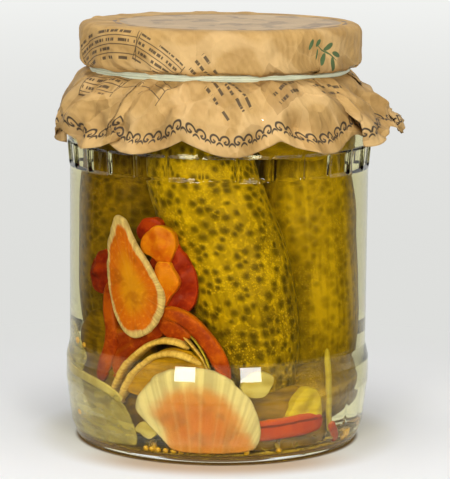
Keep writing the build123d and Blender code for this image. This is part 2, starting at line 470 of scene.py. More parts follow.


# Gherkin skin: painted shade that darkens it low down, with mottling, pale stripes along it, soft
# dark spots about the centres of cells and small light pimples between them.
def gherkinFinish(name, values):
    light, dark, strength = values["light"], values["dark"], values["spot"]
    finish = newFinish(name)
    skin, place = finish.place("UV"), finish.place()
    height = finish.apart(place)[2]
    across, along = finish.apart(skin)[:2]
    patch = finish.noise(place, 14, 3)
    grain = finish.noise(place, 1.6, 3)
    mottle = finish.noise(place, 4.5, 3)
    streak = finish.noise(finish.together(across, along * 0.09), 3.2, 2)
    # Painted shade: the skin goes from its light colour at the top to its dark colour low down.
    share = finish.step(height / 0.001 + 70 * (patch - 0.5), 30.0, 106.0)
    color = finish.blend(share, dark, light)
    color = finish.blend(finish.step(mottle, 0.42, 0.66) * (0.60 * strength), color, toned(light, 0.5))
    color = finish.blend(finish.step(grain, 0.44, 0.62) * (0.45 * strength), color, toned(light, 0.45))
    fleck = 1 - finish.step(grain, 0.34, 0.47)
    color = finish.blend(fleck * (0.40 * strength), color, toned(light, 1.4))
    stripe = finish.step(streak, 0.50, 0.66) * values["stripe"]
    color = finish.blend(stripe, color, toned(light, 1.35, 0.02, 0.002))
    wobble = finish.vector("MULTIPLY_ADD", finish.noise(skin, 7, 2, 1), (0.0013, 0.0013, 0), skin)
    near = finish.cells(wobble, 3.5, 0.9)
    rarity = finish.apart(finish.cells(wobble, 3.5, 0.9, 1))[0]
    reach = 0.24 + 0.24 * rarity
    spot = 1 - finish.step(near / reach + (grain - 0.5) * 0.7, 0.20, 1.40)
    color = finish.blend(spot * (0.80 * strength), color, toned(dark, 0.30))
    pimple = finish.cells(skin, 1.0, 1.0)
    crowd = finish.step(finish.noise(skin, 10), 0.42, 0.62)
    dot = (1 - finish.step(pimple, 0.08, 0.36)) * crowd * (1 - spot)
    color = finish.blend(dot * 0.38, color, toned(light, 1.45, 0.03, 0.003))
    relief = spot * 0.35 + dot * 0.3 + patch * 0.6 + grain * 0.25 + mottle * 0.4
    return finish.surface(color, 0.42, Normal=finish.bump(relief, 0.7, 0.8), Specular_IOR_Level=0.06)


for name, values in gherkins.items():
    gherkinPiece(name, values)
print("gherkins made")


patches = {  # outline is turn and height, heart the place its rows are drawn in to
    "slice_teardrop": {
        "outline": [(-46, 71.9), (-41.2, 71.6), (-37.0, 66.5), (-29.0, 59.0), (-22.6, 51.5),
            (-22.3, 45.5), (-27.5, 39.0), (-35.5, 36.4), (-41.5, 38.4), (-46.8, 45), (-49.5, 53),
            (-49.6, 63)],
        "heart": (-36, 51), "reach": 41.7, "thick": 2.6, "dome": 0, "seed": 3,
        "core": (0.56, 0.22, 0.002), "flesh": (0.50, 0.11, 0.002), "rim": (0.55, 0.42, 0.19),
        "rimShare": 0.86, "fibre": 0.10,
    },
    "slice_big": {
        "outline": [(-34.5, 16.5), (-31, 21.5), (-24, 26.0), (-14.2, 28.3), (-6, 28.3), (2, 26.6),
            (10.0, 22.3), (15.5, 17), (18, 11), (17.0, 6.2), (13.6, 4.4), (4, 3.7), (-8, 3.6),
            (-18.1, 4.6), (-25, 9.0), (-31, 13)],
        "heart": (-7, 10.5), "root": -34, "reach": 41.7, "thick": 2.8, "dome": 0, "seed": 5,
        "core": (0.47, 0.135, 0.008), "flesh": (0.50, 0.20, 0.03), "rim": (0.58, 0.50, 0.26),
        "rimShare": 0.69, "soft": 0.13, "fibre": 0.17,
    },
    "slice_back_one": {
        "outline": [(171, 58), (177, 64), (185, 61), (190, 49), (186, 39), (177, 36), (171, 45)],
        "heart": (179, 50), "reach": 41.6, "thick": 2.6, "dome": 0, "seed": 7,
        "core": (0.54, 0.18, 0.002), "flesh": (0.50, 0.12, 0.003), "rim": (0.56, 0.43, 0.19),
        "rimShare": 0.86, "fibre": 0.2,
    },
    "slice_back_two": {
        "outline": [(170, 20), (175, 27), (184, 27), (190, 19), (189, 9), (180, 4.2), (171, 8)],
        "heart": (180, 14), "root": -30, "reach": 41.6, "thick": 2.6, "dome": 0, "seed": 8,
        "core": (0.50, 0.14, 0.006), "flesh": (0.52, 0.21, 0.03), "rim": (0.64, 0.53, 0.25),
        "rimShare": 0.72, "fibre": 0.25,
    },
    "pepper_cap": {
        "outline": [(-38.5, 67), (-36.1, 70.9), (-31.5, 72.2), (-27.2, 71.6), (-25.6, 69.0), (-29, 65),
            (-34, 64)],
        "heart": (-31.5, 68.3), "reach": 36.4, "thick": 4, "dome": 1.2, "seed": 11, "finish": "red",
    },
    "pepper_chunk": {
        "outline": [(-34.5, 65.5), (-29.3, 69.2), (-25.3, 70.1), (-20.0, 68.6), (-17.9, 65.2),
            (-19.3, 61.6), (-21.6, 59.0), (-25.2, 59.0), (-28.5, 60.5), (-33.5, 62)],
        "heart": (-25.5, 64.5), "reach": 38.6, "thick": 4, "dome": 0.8, "seed": 12, "finish": "amber",
    },
    "pepper_body": {
        "outline": [(-23, 67), (-17.0, 63.5), (-12.2, 59.8), (-9.3, 55.7), (-8.8, 50.5), (-10.6, 46.4),
            (-16.1, 43.4), (-25, 41.0), (-33, 43), (-34, 53), (-30, 62)],
        "heart": (-19, 53), "reach": 36.4, "thick": 5, "dome": 0.9, "seed": 13, "finish": "red",
    },
    "pepper_lump": {
        "outline": [(-26.5, 58.6), (-21.7, 59.5), (-18.9, 57.8), (-16.1, 54.3), (-16.9, 52.0),
            (-20.3, 48.8), (-23.2, 46.2), (-27.5, 50)],
        "heart": (-21.8, 53.6), "reach": 39.3, "thick": 3.5, "dome": 1.0, "seed": 14, "finish": "amber",
    },
    "pepper_hump": {
        "outline": [(-26.5, 41.0), (-23, 43.4), (-18.0, 43.2), (-12.5, 41.6), (-10.0, 38.9),
            (-12.0, 36.9), (-17.3, 36.4), (-23, 37.6)],
        "heart": (-18, 39.9), "reach": 38.2, "thick": 4, "dome": 1.0, "seed": 15, "finish": "orange",
    },
    "pepper_low": {
        "outline": [(-52.5, 39), (-46.5, 38), (-38, 38.5), (-28.7, 40.5), (-25.0, 42.2), (-23.0, 39.0),
            (-29.0, 34.7), (-38, 31), (-44, 27.0), (-50.0, 22.5), (-53, 30)],
        "heart": (-43, 34.0), "reach": 37.0, "thick": 4, "dome": 1.0, "seed": 16, "finish": "orange",
    },
    "pepper_dark": {
        "outline": [(-58, 60.5), (-64.0, 59.5), (-69.2, 56.6), (-71.9, 52.5), (-70.8, 48.6),
            (-65.1, 46.8), (-56, 48.0), (-54, 55)],
        "heart": (-63, 53.5), "reach": 35.5, "thick": 5, "dome": 1.6, "seed": 17, "finish": "red",
    },
    "chunk_pale": {
        "outline": [(9.3, 23.0), (13, 25.6), (18.4, 27.0), (23.4, 25.2), (21.8, 22.0), (18.7, 19.9),
            (13.0, 20.1)],
        "heart": (16, 23.4), "reach": 40.8, "thick": 3.2, "dome": 0.6, "seed": 18, "finish": "pale",
    },
    "wedge_yellow": {
        "outline": [(30.4, 13.6), (33.3, 17.4), (37.6, 20.4), (41.6, 21.4), (46.5, 19.7), (48.6, 15),
            (47.4, 11.0), (38.8, 10.8), (32.5, 11.2)],
        "heart": (40, 14.5), "reach": 39.4, "thick": 6, "dome": 0.8, "seed": 19, "finish": "yellow",
    },
    "scrap_left": {
        "outline": [(-35.2, 9.0), (-31.5, 11.9), (-25.3, 11.4), (-24.2, 9.0), (-28.5, 6.6),
            (-32.6, 8.0)],
        "heart": (-29.6, 9.3), "reach": 40.6, "thick": 1.6, "dome": 0.4, "seed": 20, "finish": "pale",
    },
    "onion_wide": {
        "outline": [(-106, 22), (-90, 25.0), (-76.5, 23.5), (-62, 21.5), (-52.9, 19.5), (-45, 16.5),
            (-39.8, 12.4), (-36.0, 8.6), (-36.0, 5.0), (-46.5, 3.6), (-60.1, 3.6), (-78, 4.3),
            (-96, 6)],
        "heart": (-70, 13), "reach": 40.4, "thick": 1.1, "dome": 0, "seed": 21, "finish": "onion",
    },
    "onion_tip": {
        "outline": [(-44.0, 18.6), (-40, 16.4), (-36.6, 12.6), (-34.0, 7.6), (-34.2, 4.6), (-38, 5.0),
            (-42.5, 9.7), (-47, 14)],
        "heart": (-40, 11.0), "reach": 41.6, "thick": 0.9, "dome": 0, "seed": 22, "finish": "onion",
    },
    "onion_shell": {
        "outline": [(-92, 30), (-84, 36), (-76, 35), (-70, 30), (-66, 25), (-72, 21), (-84, 21)],
        "heart": (-78, 28), "reach": 40.9, "thick": 1.0, "dome": 0, "seed": 23, "finish": "onion",
    },
    "edge_shadow": {
        "outline": [(-41, 20.5), (-34.1, 27.7), (-26, 32.4), (-18, 34.2), (-10, 33.0), (-4.5, 29.5),
            (-3.5, 24), (-16, 22), (-30, 19)],
        "heart": (-19, 27), "reach": 39.6, "thick": 3, "dome": 0, "seed": 24, "finish": "gold",
    },
    "filler_left": {
        "outline": [(-62, 42), (-52, 44), (-40, 40), (-32, 30), (-34, 10), (-46, 6), (-60, 8),
            (-66, 22)],
        "heart": (-50, 26), "reach": 34.0, "thick": 4, "dome": 1, "seed": 25, "finish": "olive",
    },
    "filler_edge": {
        "outline": [(-80, 34), (-70, 41), (-58, 41), (-49, 35), (-48, 22), (-56, 13), (-70, 12),
            (-80, 22)],
        "heart": (-64, 27), "reach": 36.2, "thick": 3, "dome": 0.8, "seed": 27, "finish": "olive",
    },
    "filler_right": {
        "outline": [(6, 17), (18, 21), (34, 22), (48, 20), (56, 16), (56, 5), (40, 3.8), (20, 3.8),
            (6, 6)],
        "heart": (32, 11), "reach": 36.0, "thick": 4, "dome": 1, "seed": 26, "finish": "olive",
    },
}


# A flat piece: the outline is drawn in towards its heart for each row of the face and of the back,
# the rows between them go round the rim, and the whole bends with the wall. The dome swells the
# face by dome x (1 - share^2).
def patchPiece(name, values, material):
    thick, dome, seed = values["thick"], values["dome"], values["seed"]
    outline = curveThrough(values["outline"], 160, closed=True)
    outline = outline * (1 + 0.004 * waves(np.pad(outline, ((0, 0), (0, 1))), 5, seed)[:, None])
    heart = np.array(values["heart"], float)
    face = np.linspace(0.05, 0.96, 24)
    shares = np.concatenate([face, [0.985, 1.0, 1.0, 0.985], face[::-1]])
    depths = np.concatenate([face * 0 + 0.02, [0.12, 0.35, 0.65, 0.88], face * 0 + 1]) * thick
    spot = heart + shares[:, None, None] * (outline - heart)
    across, up = np.radians(spot[..., 0] - heart[0]) * values["reach"], spot[..., 1] - heart[1]
    flat = np.stack([across, up], -1)
    place = np.concatenate([flat, flat[..., :1] * 0], -1)
    wavy = 0.22 * waves(place, 9, seed) - 0.22
    swell = dome * (1 - shares**2) * (depths < thick / 2)
    lumps = dome * 0.5 * waves(place, 5, seed) * (1 - shares[:, None] ** 4)
    reach = np.minimum(values["reach"] - depths[:, None] + wavy + swell[:, None] + lumps, innerReach)
    points = around(spot[..., 0], reach, spot[..., 1])
    share = np.broadcast_to(shares[:, None], points.shape[:2])
    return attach(putPiece(name, points, material, uv=flat, fields={"share": share}), "root")


# Cream rim, flesh and deeper core, with fibres that run out from the heart, or from a root above or
# below it where one is given.
def sliceFinish(name, values):
    finish = newFinish(name)
    flat, share = finish.place("UV"), finish.field("share")
    u, v = finish.apart(flat)[:2]
    ray = finish.vector("NORMALIZE", finish.together(u, v - values.get("root", 0) * 0.001))
    fibre = finish.noise(finish.vector("MULTIPLY", ray, (0.022, 0.022, 0.0)), 0.9, 3)
    lower = (v / -0.001).math("MAXIMUM", 0.0) * (0.06 if "root" in values else 0.0)
    patch = finish.noise(flat, 6, 3)
    fine = finish.noise(flat, 1.2, 3)
    edge = share - lower + 0.16 * (fibre - 0.5) * (values["fibre"] * 2) + 0.2 * (patch - 0.5)
    color = finish.blend(finish.step(edge, 0.25, 0.7), values["core"], values["flesh"])
    color = finish.blend(finish.step(patch, 0.48, 0.66) * 0.5, color, toned(values["flesh"], 0.5))
    color = finish.blend(finish.step(fine, 0.54, 0.70) * 0.35, color, toned(values["core"], 1.35, 0.02))
    color = finish.blend(finish.step(fibre, 0.45, 0.75) * values["fibre"], color, values["rim"])
    start, soft = values["rimShare"], values.get("soft", 0.035)
    rimmed = finish.step(edge + 0.03 * (fine - 0.5), start - soft, start + soft)
    pale, cream = finish.step(fibre, 0.35, 0.65), values["rim"]
    pale = finish.blend(pale, toned(cream, 0.76), toned(cream, 1.15))
    color = finish.blend(rimmed * 0.92, color, pale)
    relief = fibre * 0.6 + patch + fine * 0.2
    return finish.surface(color, 0.5, Normal=finish.bump(relief, 0.5, 0.6), Specular_IOR_Level=0.06)


strips = {  # knots are turn, reach, height; wide lies along the wall, deep runs inward
    "pepper_arch": {
        "knots": [(-26, 37.5, 40.5), (-22.5, 39, 43.8), (-17.5, 40, 44.0), (-11.5, 40.2, 42.0),
            (-5.8, 40.2, 38.0), (-0.8, 40, 33.0), (2.4, 39.6, 27.8), (3.6, 39, 22)],
        "wide": 4.5, "deep": 4.2, "roll": 0, "finish": "orange",
    },
    "pepper_left": {
        "knots": [(-52.5, 37, 52), (-53, 38, 47.5), (-52.4, 38.6, 42.4), (-50.7, 38.8, 37.3),
            (-51.5, 38.8, 31.9), (-54.7, 38.8, 26.4), (-58.6, 38.4, 20.5)],
        "wide": 4.6, "deep": 3.0, "roll": 10, "finish": "orange",
    },
    "pepper_floor": {
        "knots": [(12, 37, 9.6), (19, 40, 9.9), (29.1, 40.4, 10.4), (40, 40.4, 10.9),
            (49.5, 40.2, 11.0)],
        "wide": 6.6, "deep": 3.4, "roll": 0, "finish": "slit",
    },
    "pepper_stub": {
        "knots": [(53.5, 40.8, 10.0), (56.0, 41.0, 6.8), (58.6, 40.6, 3.8)],
        "wide": 2.6, "deep": 2.0, "roll": 0, "finish": "orange",
    },
    "edge_upper": {
        "knots": [(-49, 41.0, 17.0), (-44.2, 41.3, 23.1), (-39.1, 41.4, 28.4), (-33.8, 41.4, 32.1),
            (-28.5, 41.4, 34.8), (-22.6, 41.4, 36.2), (-16.9, 41.3, 36.0), (-11.5, 41, 34.2)],
        "wide": 1.9, "deep": 6, "roll": 0, "finish": "cream",
    },
    "edge_lower": {
        "knots": [(-43.8, 41.3, 16.5), (-38.8, 41.5, 23.0), (-33.1, 41.6, 27.4), (-27.5, 41.6, 31.0),
            (-20.0, 41.6, 32.6), (-13.4, 41.6, 32.0), (-6.2, 41.4, 29.8)],
        "wide": 2.0, "deep": 6, "roll": 0, "finish": "cream",
    },
    "fan_one": {
        "knots": [(-15, 38.8, 38), (-10.5, 39.6, 35.2), (-6.4, 40, 31.5), (-3.9, 39.8, 27)],
        "wide": 0.7, "deep": 3, "roll": 0, "finish": "cream",
    },
    "fan_two": {
        "knots": [(-12.4, 38.4, 38.8), (-8.2, 39.2, 35.6), (-5.0, 39.6, 31.8), (-2.9, 39.4, 27.6)],
        "wide": 0.7, "deep": 3, "roll": 0, "finish": "stem",
    },
    "fan_three": {
        "knots": [(-13.6, 39.0, 36.8), (-9.6, 39.8, 33.9), (-6.0, 40.2, 30.6), (-4.6, 40.0, 27.4)],
        "wide": 0.6, "deep": 3, "roll": 0, "finish": "olive",
    },
    "stem": {
        "knots": [(53.0, 38.8, 32), (52.7, 39.6, 26.4), (52.5, 39.8, 21.4), (52.5, 40, 16.0),
            (53.2, 40, 11.3), (54.5, 39.6, 6.6)],
        "wide": 1.8, "deep": 1.8, "roll": 0, "finish": "stem",
    },
    "onion_band": {
        "knots": [(-104, 40.8, 25.5), (-90, 41.5, 24.0), (-78.7, 41.7, 22.0), (-64.6, 41.8, 21.5),
            (-52.3, 41.7, 20.2), (-41.0, 41.5, 17.6)],
        "wide": 2.8, "deep": 1.4, "roll": 0, "finish": "pale",
    },
    "back_pepper_high": {
        "knots": [(172, 40, 90), (176, 40.4, 84), (183, 40.4, 77), (188, 40.2, 68), (188, 39.4, 58)],
        "wide": 5.0, "deep": 3.4, "roll": 0, "finish": "red",
    },
    "back_pepper_low": {
        "knots": [(171, 39.5, 36), (175, 40.4, 32), (183, 40.6, 31), (189, 40, 27)],
        "wide": 4.4, "deep": 3.2, "roll": 0, "finish": "orange",
    },
}


# A strip: a rounded oblong, |x|^3 + |y|^3 = 1, carried along a smooth path and blunt at both ends.
# Its outer face keeps its reach, so the depth runs inward.
def stripPiece(name, values, material):
    knots = np.asarray(values["knots"], float)
    shares = crowded(64)
    line = curveThrough(around(*knots.T), shares)
    side, out = pathSides(line, values["roll"])
    angle = circle(36)
    x, y = (np.sign(f) * np.abs(f) ** (2 / 3) for f in (np.cos(angle), np.sin(angle)))
    blunt = ((1 - np.abs(2 * shares - 1) ** 9) ** 0.5)[:, None]
    uneven = 1 + 0.07 * waves(line, 13, len(name))[:, None]
    wide = values["wide"] / 2 * blunt * uneven
    deep = values["deep"] / 2 * blunt
    across, inward = x[None] * wide, y[None] * deep - values["deep"] / 2
    points = line[:, None] + side[:, None] * across[..., None] + out[:, None] * inward[..., None]
    uv = np.stack([across, np.broadcast_to(runLength(line)[:, None], across.shape)], -1)
    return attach(putPiece(name, points, material, uv=uv), "root")


# Pepper flesh: two reds in soft patches with thin light veins and specks that carry a painted
# highlight, and painted light that makes it more orange where it faces up.
def pepperFinish(name, light, dark, slit=0.0):
    finish = newFinish(name)
    place = finish.place()
    patch, fine = finish.noise(place, 7, 3), finish.noise(place, 1.3, 3)
    color = finish.blend(finish.step(patch + 0.3 * (fine - 0.5), 0.34, 0.66), dark, light)
    # Thin light veins: fibres in the flesh with a painted highlight.
    veinAndHighlight = 1 - finish.step((finish.noise(place, 5, 4) - 0.5).math("ABSOLUTE"), 0.0, 0.05)
    color = finish.blend(veinAndHighlight * 0.14, color, toned(light, 1.35, 0.02, 0.01))
    # Small light specks: mottling with painted glints.
    color = finish.blend(finish.step(fine, 0.56, 0.72) * 0.2, color, toned(light, 1.4, 0.05, 0.01))
    # Painted light: more orange where the surface faces up, towards the light above.
    up = finish.apart(finish.node("ShaderNodeNewGeometry", output="Normal"))[2]
    orange = (1.25 * light[0], 2.1 * light[1], light[2])
    color = finish.blend(finish.step(up, 0.15, 0.95) * 0.55, color, orange)
    if slit:  # a dark line along the middle of a strip
        across = finish.apart(finish.place("UV"))[0]
        off = (across + 0.0012 + 0.001 * (patch - 0.5)).math("ABSOLUTE")
        line = (1 - finish.step(off, 0.00015, 0.0006)) * finish.step(patch, 0.35, 0.5)
        color = finish.blend(line * slit, color, (0.08, 0.01, 0.002))
    bump = finish.bump(patch + fine * 0.3, 0.8, 0.6)
    return finish.surface(color, 0.35, Normal=bump, Specular_IOR_Level=0.08)


# Plain flesh: two tones shared by patches and by grain that is stretched across the piece.
def fleshFinish(name, light, dark, grainSize, alpha=1.0):
    finish = newFinish(name)
    across, along = finish.apart(finish.place("UV"))[:2]
    patch = finish.noise(finish.place(), 5, 3)
    grain = finish.noise(finish.together(across * 0.2, along), grainSize, 2)
    share = finish.step(grain * 0.6 + patch * 0.4, 0.36, 0.62)
    color = finish.blend(share, dark, light)
    bump = finish.bump(grain + patch, 0.4, 0.5)
    return finish.surface(color, 0.5, Normal=bump, Specular_IOR_Level=0.06, Alpha=alpha)


softFinishes = {
    "orange": pepperFinish("pepper_orange", (0.46, 0.085, 0.001), (0.26, 0.026, 0.001)),
    "amber": pepperFinish("pepper_amber", (0.56, 0.17, 0.002), (0.46, 0.075, 0.001)),
    "red": pepperFinish("pepper_red", (0.34, 0.028, 0.001), (0.20, 0.010, 0.001)),
    "slit": pepperFinish("pepper_slit", (0.44, 0.062, 0.004), (0.36, 0.036, 0.003), 0.8),
    "cream": fleshFinish("slice_edge", (0.68, 0.45, 0.12), (0.48, 0.28, 0.05), 0.9),
    "yellow": fleshFinish("wedge_flesh", (0.60, 0.45, 0.004), (0.42, 0.28, 0.003), 2.0),
    "olive": fleshFinish("olive_flesh", (0.28, 0.155, 0.001), (0.14, 0.075, 0.001), 1.6),
    "gold": fleshFinish("gold_flesh", (0.48, 0.25, 0.002), (0.26, 0.13, 0.001), 1.2),
    "pale": fleshFinish("pale_flesh", (0.52, 0.42, 0.13), (0.40, 0.30, 0.06), 3.0),
    "stem": fleshFinish("stem_green", (0.46, 0.35, 0.03), (0.32, 0.23, 0.02), 4.0),
    "onion": fleshFinish("onion_pale", (0.54, 0.45, 0.14), (0.33, 0.25, 0.04), 2.0, 0.5),
}
for name, values in patches.items():
    key = values.get("finish")
    patchPiece(name, values, softFinishes[key] if key else sliceFinish("flesh_" + name, values))
print("flat pieces made")
for name, values in strips.items():
    stripPiece(name, values, softFinishes[values["finish"]])
print("strips made")


seeds = {
    "size": 1.0,
    "placed": [  # turn, reach, height of the ones that show at the front
        (-27.6, 39.6, 3.9), (-24.9, 39.6, 3.8), (-21.4, 39.6, 3.8), (-17.9, 39.6, 3.8),
        (12.5, 39.6, 3.9), (26.8, 39.4, 3.8), (64.7, 39.6, 3.9), (-72.9, 41.6, 31.3),
        (-65.8, 41.8, 30.8), (-70.5, 41.6, 10.0), (-30.5, 39.6, 3.9), (-15, 38.8, 3.6),
    ],
    "scattered": 46,
    "color": (0.66, 0.36, 0.006),
}
bed = {
    "into": 0.42, "rows": 40, "rowsBelow": 16,
    "dark": (0.22, 0.13, 0.006), "light": (0.46, 0.30, 0.01),
    "pale": (0.60, 0.42, 0.015), "deep": (0.09, 0.05, 0.003),
}
bits = {
    "count": 260, "length": (1.2, 4.0), "width": (0.25, 0.9),
    "light": (0.46, 0.30, 0.01), "dark": (0.08, 0.045, 0.003),
}


# Seeds: balls squashed a little, at the listed places and at random over the floor.
def seedPiece():
    dice = np.random.default_rng(21)
    count = seeds["scattered"]
    turns, reaches = dice.uniform(0, 360, count), 39.6 * dice.uniform(0.25, 1, count) ** 0.5
    loose = np.stack([turns, reaches, dice.uniform(4.0, 5.0, count)], -1)
    spots = np.concatenate([seeds["placed"], loose])
    polar = np.linspace(0.12, np.pi - 0.12, 12)[:, None]
    angle = circle(16)[None]
    x, y = np.sin(polar) * np.cos(angle), np.sin(polar) * np.sin(angle)
    ball = np.broadcast_arrays(x, y, np.cos(polar))
    size = seeds["size"] * dice.uniform(0.85, 1.12, (len(spots), 1, 1, 3))
    points = around(*spots.T)[:, None, None] + np.stack(ball, -1)[None] * size
    finish = newFinish("mustard_seed")
    patch = finish.noise(finish.place(), 1.6, 2)
    color = finish.blend(patch, toned(seeds["color"], 0.6), toned(seeds["color"], 1.3))
    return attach(putPiece("mustard_seeds", points, finish.surface(color, 0.4)), "root")


# Bits of dill and spice: short curved threads, flat and thin, on the floor and along its rim.
def bitPiece():
    dice = np.random.default_rng(22)
    count = bits["count"]
    turns, reaches = dice.uniform(0, 360, count), 39.8 * dice.uniform(0.15, 1, count) ** 0.35
    middle = around(turns, reaches, dice.uniform(3.4, 6.0, count))
    heading = unit(dice.normal(size=(count, 3)) * (1, 1, 0.25))
    bow = unit(np.cross(heading, dice.normal(size=(count, 3))))
    length = dice.uniform(*bits["length"], (count, 1, 1))
    s = np.linspace(-1, 1, 9)[None, :, None]
    line = middle[:, None] + heading[:, None] * s * length / 2 + bow[:, None] * (1 - s**2) * length * 0.18
    side = unit(np.cross(heading, (0.1, 0.2, 1.0)))[:, None, None]
    up = unit(np.cross(side[:, 0, 0], heading))[:, None, None]
    angle = circle(8)[None, None, :, None]
    width = dice.uniform(*bits["width"], (count, 1, 1, 1)) * np.sqrt(1 - 0.9 * s[..., None] ** 2)
    points = line[:, :, None] + side * np.cos(angle) * width + up * np.sin(angle) * width * 0.4
    over = np.maximum(np.linalg.norm(points[..., :2], axis=-1, keepdims=True) / innerReach, 1)
    points[..., :2] /= over
    shade = np.broadcast_to(dice.uniform(0, 1, (count, 1, 1)), points.shape[:3])
    finish = newFinish("herb_bits")
    color = finish.blend(finish.field("shade"), bits["dark"], bits["light"])
    piece = putPiece("herb_bits", points, finish.surface(color, 0.6), fields={"shade": shade})
    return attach(piece, "root")


# The bed of spice and dill: a thin lumpy disc on the jar's bottom, which rises to its middle. It
# reaches a hair into the glass, so that no light is led along under it.
def bedPiece():
    reach = [np.linspace(2, 38.6, bed["rows"]), np.linspace(38.4, 2, bed["rowsBelow"])]
    reach = np.concatenate(reach)[:, None]
    turns = np.linspace(0, 360, 180, endpoint=False)[None]
    floor = np.where(reach > 36, 2.2, 3.7 - 1.5 * reach / 36) - bed["into"]
    points = around(turns, reach, floor)
    upper = (np.arange(len(reach)) < bed["rows"])[:, None]
    rough = 0.55 + 0.5 * waves(points, 4, 9) + 0.4 * waves(points, 9, 10)
    points[..., 2] += upper * (bed["into"] + 0.15 + np.clip(rough + 0.3, 0.15, 2.0))
    finish = newFinish("spice_bed")
    place = finish.place()
    patch, fine = finish.noise(place, 4, 3), finish.noise(place, 0.9, 3)
    color = finish.blend(finish.step(patch, 0.35, 0.65), bed["dark"], bed["light"])
    color = finish.blend(finish.step(fine, 0.52, 0.68) * 0.6, color, bed["pale"])
    color = finish.blend(finish.step(fine, 0.48, 0.34) * 0.6, color, bed["deep"])
    piece = putPiece("spice_bed", points, finish.surface(color, 0.6, Normal=finish.bump(fine, 0.8)))
    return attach(piece, "root")


bedPiece()
seedPiece()
bitPiece()
print("seeds and bits made")


paper = {
    "profile": [  # reach, height, from the middle of the top to the hem
        (0, 127.15), (20, 127.25), (34, 127.35), (39.0, 127.45), (40.6, 127.25), (41.7, 126.6),
        (42.35, 125.5), (42.6, 124.0), (42.75, 119.5), (42.75, 116.4), (42.2, 115.2), (40.6, 114.7),
        (38.7, 114.2), (38.5, 113.5), (38.6, 112.8), (40.4, 112.1), (42.6, 110.9), (44.8, 108.8),
        (46.6, 106.0), (48.0, 101.6), (49.0, 97.0), (49.7, 91.6), (50.1, 86.0),
    ],
    "tie": 13,  # the profile's corner under the band
    "folds": [  # turn on the wall, at the band and at the hem; overlap at band and hem; lift at the hem
        (-166, -166, -166, 6, 9, 1.1), (-138, -138, -138, 6, 8, 0.8), (-108, -108, -110, 6, 9, 1.2),
        (-72, -72, -80, 5, 7, 0.9), (-36, -32, -44, 6, 6, 0.8), (-12, -13, -14, 0, 0, 0),
        (14.4, 17, 22, 0, 0, 0), (43.3, 44, 55, 6, 8, 1.3), (76, 78, 83, 6, 5, 0.7),
        (105, 106, 108, 5, 8, 1.1), (136, 136, 136, 6, 8, 0.8), (165, 165, 165, 6, 9, 1.0),
    ],
    "lift": 0.2,  # how far a fold's edge stands off at the band
    "creases": [  # turn, slant, from and to along the sheet, depth, width
        (15, 0.25, 47, 57, -0.5, 0.9), (47, -0.5, 43.5, 57, -0.9, 1.3),
        (-37, -0.7, 48, 57, -0.45, 1.2), (-14, 0.2, 49, 57, 0.4, 1.6), (31, 0.4, 50, 57, 0.4, 1.6),
        (66, -0.3, 46, 57, -0.6, 1.8), (-58, 0.4, 47, 57, -0.5, 1.6), (95, 0.2, 45, 57, -0.7, 1.6),
        (130, -0.3, 46, 57, -0.6, 1.4), (160, 0.3, 45, 57, -0.6, 1.6),
        (200, -0.3, 46, 57, -0.6, 1.4), (235, 0.3, 46, 57, -0.7, 1.6),
        (268, 0.2, 46, 57, -0.5, 1.5), (4, 0.5, 70, 82, 1.3, 1.0), (0.5, -0.4, 66, 82, -1.1, 1.3),
        (26, -1.6, 58, 70, 0.9, 1.0), (-56, 1.2, 66, 82, 0.9, 1.2), (-50, 0.8, 62, 82, -0.7, 1.5),
        (-24, 0.6, 60, 82, 0.7, 1.6), (74, 1.0, 66, 82, 1.4, 1.4), (36, -0.8, 60, 74, -0.6, 1.6),
        (-4, 1.2, 58, 70, 0.7, 1.2), (-13, -0.05, 58, 86, -0.7, 1.0), (17, 0.28, 58, 78, 0.6, 0.9),
    ],
    "cone": [  # turn, share of the cone
        (-180, 0), (-150, 0.35), (-128, 0), (-60, 0), (48, 0), (66, 0.8), (88, 1), (102, 0.85),
        (122, 0),
    ],
    "coneStart": (39.0, 112.9),  # the cone's reach and height at the band
    "coneSlope": (0.66, -0.70),  # and what it gains of each along the sheet
    "bulge": [0.5, 0.8, 0.3, 0.9, 0.6, 0.5, 0.9, 1.0, 1.6, 0.4, 0.9, 0.5],
    "lobes": 15, "lobePhase": 4.4, "lobeDepth": 4.6, "skirt": 26.0,
    "panelColumns": 26, "turnColumns": 4, "thickness": 0.2, "flatSize": 169.0,
    "dark": (0.46, 0.262, 0.075), "light": (0.58, 0.345, 0.108),
    "rib": (0.70, 0.43, 0.15), "fibre": (0.36, 0.185, 0.05),
    # The worn colours are wear on the ridges with a painted highlight on them.
    "wornAndHighlit": (0.80, 0.53, 0.23), "wornAndHighlitSmall": (0.74, 0.48, 0.19),
    # The lightest and darkest facet colours are painted light and painted shade.
    "paintedLitFacet": (0.78, 0.50, 0.20), "paintedShadedFacet": (0.26, 0.135, 0.032),  # the lightest and darkest facets
    "ink": (0.030, 0.020, 0.014),
}


# Turn of every column on the wall, at the band and at the hem. A panel runs on under the next fold
# by its overlap and then comes back to it, and at a soft fold, which has none, columns are even.
def foldColumns():
    folds = np.array(paper["folds"], float)
    after = np.roll(folds, -1, 0)
    after[-1, :3] += 360
    panelShare = np.linspace(0, 1, paper["panelColumns"], endpoint=False)
    turnShare = np.linspace(0, 1, paper["turnColumns"], endpoint=False)
    count = len(panelShare) + len(turnShare)
    stages = []
    for place, overlap in enumerate((None, 3, 4)):
        over = after[:, overlap] if overlap else after[:, 3] * 0
        start, end = folds[:, place], after[:, place] + over
        panel = start[:, None] + panelShare * (end - start)[:, None]
        back = end[:, None] - turnShare * over[:, None]
        even = start[:, None] + (end - start)[:, None] * np.arange(count) / count
        stages.append(np.where(over[:, None] > 0, np.concatenate([panel, back], 1), even).ravel())
    across = np.tile(np.concatenate([panelShare, 1 - turnShare]), len(folds))
    panelOf = np.arange(len(folds)).repeat(count)
    onPanel = np.tile(np.arange(count) < len(panelShare), len(folds))
    return stages, across, panelOf, onPanel


